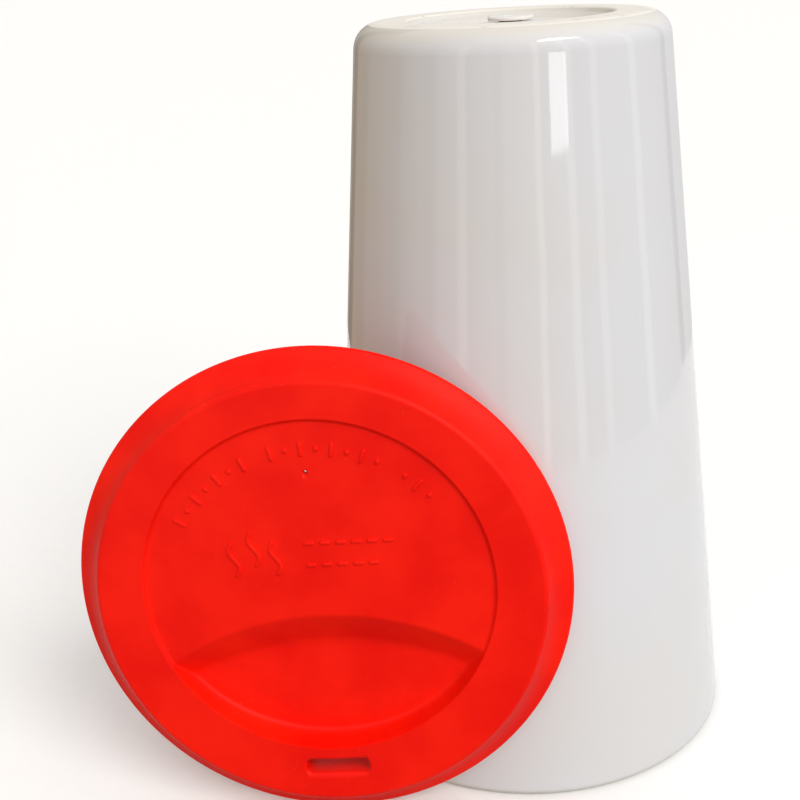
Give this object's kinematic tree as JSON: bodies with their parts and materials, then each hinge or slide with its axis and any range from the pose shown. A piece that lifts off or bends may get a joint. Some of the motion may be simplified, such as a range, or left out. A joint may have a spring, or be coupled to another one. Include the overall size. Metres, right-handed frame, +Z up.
{
  "type": "travel tumbler with lid",
  "caption": "Tall tapered double-walled ceramic drinking cup, upside down on its mouth, with its round press-on silicone lid leaning on it.",
  "frame": {"origin": "middle of the underside of the box round the cup and its leaning lid", "axes": "+Z up, along the cup's axis from its mouth to its base; -Y towards the lid's drinking side; +X from the lid towards the cup"},
  "size_m": [0.1312, 0.0964, 0.15],
  "materials": {
    "outer_glaze": "clear gloss glaze on white ceramic",
    "inner_glaze": "clear gloss glaze on white ceramic",
    "plug_silicone": "translucent moulded silicone",
    "lid_silicone": "satin moulded silicone"
  },
  "bodies": {
    "cup": {"outer_shell": "outer_glaze", "inner_cup": "inner_glaze", "vent_plug": "plug_silicone"},
    "lid": {"lid": "lid_silicone"}
  },
  "joints": [
    {"name": "lid_pull", "type": "slide", "parent": "cup", "child": "lid", "axis": [0, -0.9957, 0.0926], "range_m": [0, 0.06]}
  ]
}
